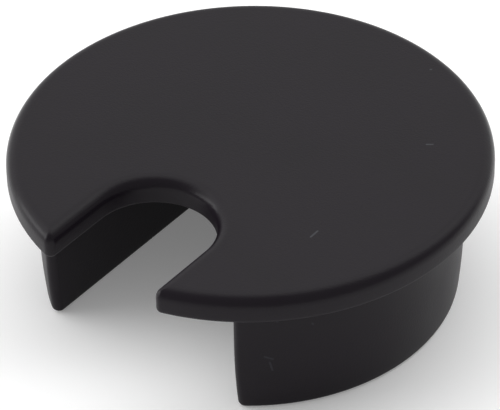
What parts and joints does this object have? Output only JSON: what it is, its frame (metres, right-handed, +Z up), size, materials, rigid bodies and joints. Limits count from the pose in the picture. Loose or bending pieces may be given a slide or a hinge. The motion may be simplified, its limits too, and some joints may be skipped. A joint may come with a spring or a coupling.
{
  "type": "desk grommet",
  "caption": "Round desk grommet: a cover cap with a U-shaped cable notch, keyed into a flanged sleeve that lines a hole in the desk top.",
  "frame": {"origin": "on the axis of the desk hole, in the plane of the desk top, which is the underside of the flange and of the cover's lip", "axes": "+Z up out of the desk along the hole's axis; the cable notch and channel open towards -Y; the part is symmetric about the plane X = 0"},
  "size_m": [0.0674, 0.0661, 0.0229],
  "materials": {
    "cap_plastic": "matte",
    "sleeve_plastic": "matte"
  },
  "bodies": {
    "sleeve": {"sleeve": "sleeve_plastic"},
    "cap": {"cap": "cap_plastic"}
  },
  "joints": [
    {"name": "cap_lift", "type": "slide", "parent": "sleeve", "child": "cap", "axis": [0, 0, 1], "range_m": [0, 0.02]}
  ]
}
